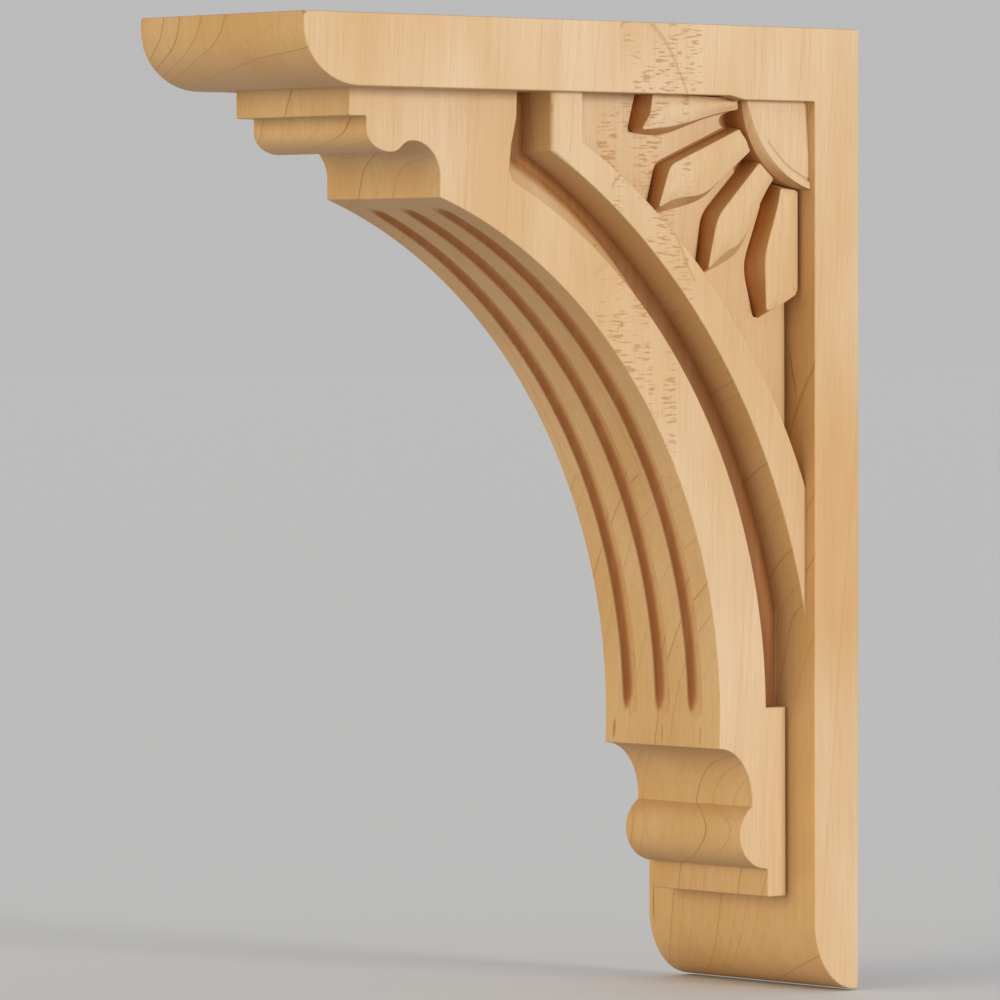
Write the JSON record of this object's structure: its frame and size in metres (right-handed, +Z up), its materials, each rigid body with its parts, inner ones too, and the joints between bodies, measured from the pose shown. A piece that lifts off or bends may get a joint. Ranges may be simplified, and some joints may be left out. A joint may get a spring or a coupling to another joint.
{
  "type": "corbel",
  "caption": "Art deco corbel: a carved maple bracket with a fluted arch between mouldings, and a rib, a quarter sun and petals in the corner of each side.",
  "frame": {"origin": "middle of the flat back, which lies on the wall", "axes": "+Y into the wall, -Y out to the front, +Z up, X across the width"},
  "size_m": [0.078, 0.2286, 0.3048],
  "materials": {
    "maple": "sanded, unfinished hard maple, matt"
  },
  "bodies": {
    "root": {"corbel": "maple"}
  },
  "joints": []
}
